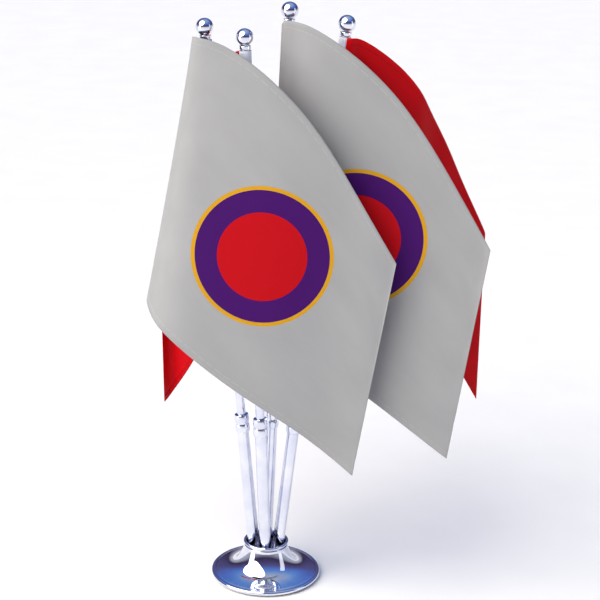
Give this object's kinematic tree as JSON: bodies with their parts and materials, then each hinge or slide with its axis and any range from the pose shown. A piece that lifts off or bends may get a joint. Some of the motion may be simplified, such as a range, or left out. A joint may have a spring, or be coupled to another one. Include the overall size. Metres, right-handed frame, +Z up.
{
  "type": "desk flag stand",
  "caption": "Desk stand with a round weighted chrome base, poles fanned out from a flared neck, each a sliding rod in a tube with a cloth flag and a ball finial.",
  "frame": {"origin": "centre of the felt pad's underside, where the base stands on the desk", "axes": "+Z up, +X to the viewer's right along the fan of poles, +Y away from the viewer; the printed flags face -Y"},
  "size_m": [0.2273, 0.0792, 0.3978],
  "materials": {
    "chrome_plate": "bright polished",
    "nickel_plate": "bright turned",
    "zinc_steel": "dull plated",
    "cast_iron": "as cast",
    "felt": "matt pressed felt",
    "header_tape": "matt woven tape",
    "white_satin": "satin, printed",
    "red_satin": "satin"
  },
  "bodies": {
    "stand": {"base_shell": "chrome_plate", "felt_pad": "felt", "bottom_plate": "zinc_steel", "base_weight": "cast_iron", "centre_bolt": "zinc_steel", "pole_hub": "nickel_plate", "lower_tube_a": "chrome_plate", "lower_tube_b": "chrome_plate", "lower_tube_c": "chrome_plate", "lower_tube_d": "chrome_plate", "lock_collar_a": "chrome_plate", "lock_collar_b": "chrome_plate", "lock_collar_c": "chrome_plate", "lock_collar_d": "chrome_plate"},
    "rod_a": {"upper_rod_a": "chrome_plate"},
    "flag_a": {"hoist_sleeve_a": "header_tape", "flag_a": "white_satin"},
    "finial_a": {"finial_a": "chrome_plate"},
    "rod_b": {"upper_rod_b": "chrome_plate"},
    "flag_b": {"hoist_sleeve_b": "header_tape", "flag_b": "red_satin"},
    "finial_b": {"finial_b": "chrome_plate"},
    "rod_c": {"upper_rod_c": "chrome_plate"},
    "flag_c": {"hoist_sleeve_c": "header_tape", "flag_c": "white_satin"},
    "finial_c": {"finial_c": "chrome_plate"},
    "rod_d": {"upper_rod_d": "chrome_plate"},
    "flag_d": {"hoist_sleeve_d": "header_tape", "flag_d": "red_satin"},
    "finial_d": {"finial_d": "chrome_plate"}
  },
  "joints": [
    {"name": "rod_slide_a", "type": "slide", "parent": "stand", "child": "rod_a", "axis": [-0.0976, 0, 0.9952], "range_m": [-0.025, 0.02]},
    {"name": "rod_slide_b", "type": "slide", "parent": "stand", "child": "rod_b", "axis": [-0.0506, 0, 0.9987], "range_m": [-0.025, 0.02]},
    {"name": "rod_slide_c", "type": "slide", "parent": "stand", "child": "rod_c", "axis": [0.0262, 0, 0.9997], "range_m": [-0.025, 0.02]},
    {"name": "rod_slide_d", "type": "slide", "parent": "stand", "child": "rod_d", "axis": [0.1028, 0, 0.9947], "range_m": [-0.025, 0.02]},
    {"name": "flag_turn_a", "type": "hinge", "parent": "rod_a", "child": "flag_a", "pos_m": [-0.04298, 0, 0.3737], "axis": [-0.0976, 0, 0.9952], "range_deg": [-20, 2]},
    {"name": "flag_turn_b", "type": "hinge", "parent": "rod_b", "child": "flag_b", "pos_m": [-0.01768, -0.0083, 0.36895], "axis": [-0.0506, 0, 0.9987], "range_deg": [-35, 2]},
    {"name": "flag_turn_c", "type": "hinge", "parent": "rod_c", "child": "flag_c", "pos_m": [0.00953, 0.0083, 0.38378], "axis": [0.0262, 0, 0.9997], "range_deg": [-4, 4]},
    {"name": "flag_turn_d", "type": "hinge", "parent": "rod_d", "child": "flag_d", "pos_m": [0.04524, 0, 0.3775], "axis": [0.1028, 0, 0.9947], "range_deg": [-3, 40]},
    {"name": "finial_screw_a", "type": "hinge", "parent": "rod_a", "child": "finial_a", "pos_m": [-0.04304, 0, 0.3743], "axis": [-0.0976, 0, 0.9952], "continuous": true},
    {"name": "finial_screw_b", "type": "hinge", "parent": "rod_b", "child": "finial_b", "pos_m": [-0.01771, -0.0083, 0.36955], "axis": [-0.0506, 0, 0.9987], "continuous": true},
    {"name": "finial_screw_c", "type": "hinge", "parent": "rod_c", "child": "finial_c", "pos_m": [0.00954, 0.0083, 0.38438], "axis": [0.0262, 0, 0.9997], "continuous": true},
    {"name": "finial_screw_d", "type": "hinge", "parent": "rod_d", "child": "finial_d", "pos_m": [0.04531, 0, 0.37809], "axis": [0.1028, 0, 0.9947], "continuous": true}
  ]
}
